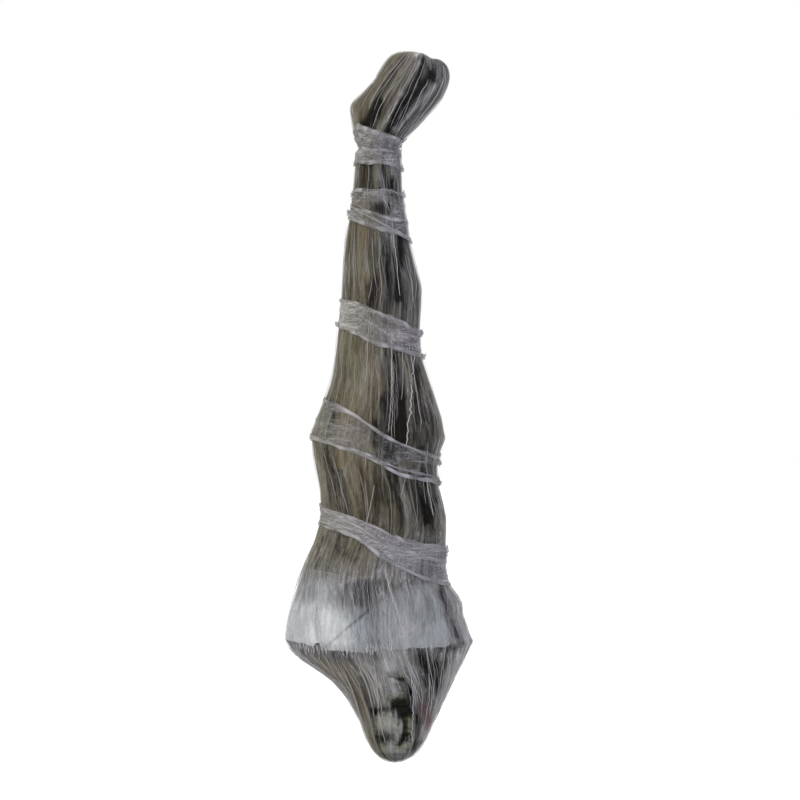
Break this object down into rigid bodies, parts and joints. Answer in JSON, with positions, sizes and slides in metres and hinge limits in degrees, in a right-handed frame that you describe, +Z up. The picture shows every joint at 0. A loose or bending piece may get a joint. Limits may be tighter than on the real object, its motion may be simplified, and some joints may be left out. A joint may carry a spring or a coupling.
{
  "type": "hanging mummy decoration",
  "caption": "Life-size stuffed figure wrapped in thin stretched gauze and tied like a cocoon, hung upside down by its ankles, with a skull-like head showing through the wrap.",
  "frame": {"origin": "middle of the ankle tie, where the figure is hung, on the hanging line", "axes": "+Z up along the hanging line, towards the toes; -Y is the front, where the face looks; +X is the viewer's right"},
  "size_m": [0.4722, 0.2602, 1.8],
  "materials": {
    "gauze": "thin fibrous stretch gauze, see-through",
    "tie_gauze": "gauze strip bunched and rolled at its edges",
    "olive_cloth": "matt brown-olive cloth",
    "wadding": "pale fibrous wadding",
    "bone": "matt moulded plastic"
  },
  "bodies": {
    "root": {"shroud_gauze": "gauze", "feet_gauze": "gauze", "ankle_band": "tie_gauze", "shin_band": "tie_gauze", "knee_band": "tie_gauze", "hip_band": "tie_gauze", "chest_band": "tie_gauze", "near_leg": "olive_cloth", "far_leg": "olive_cloth", "near_foot": "olive_cloth", "far_foot": "olive_cloth", "left_arm": "olive_cloth", "right_arm": "olive_cloth", "hood_cloth": "olive_cloth", "torso": "wadding", "head": "bone"}
  },
  "joints": []
}
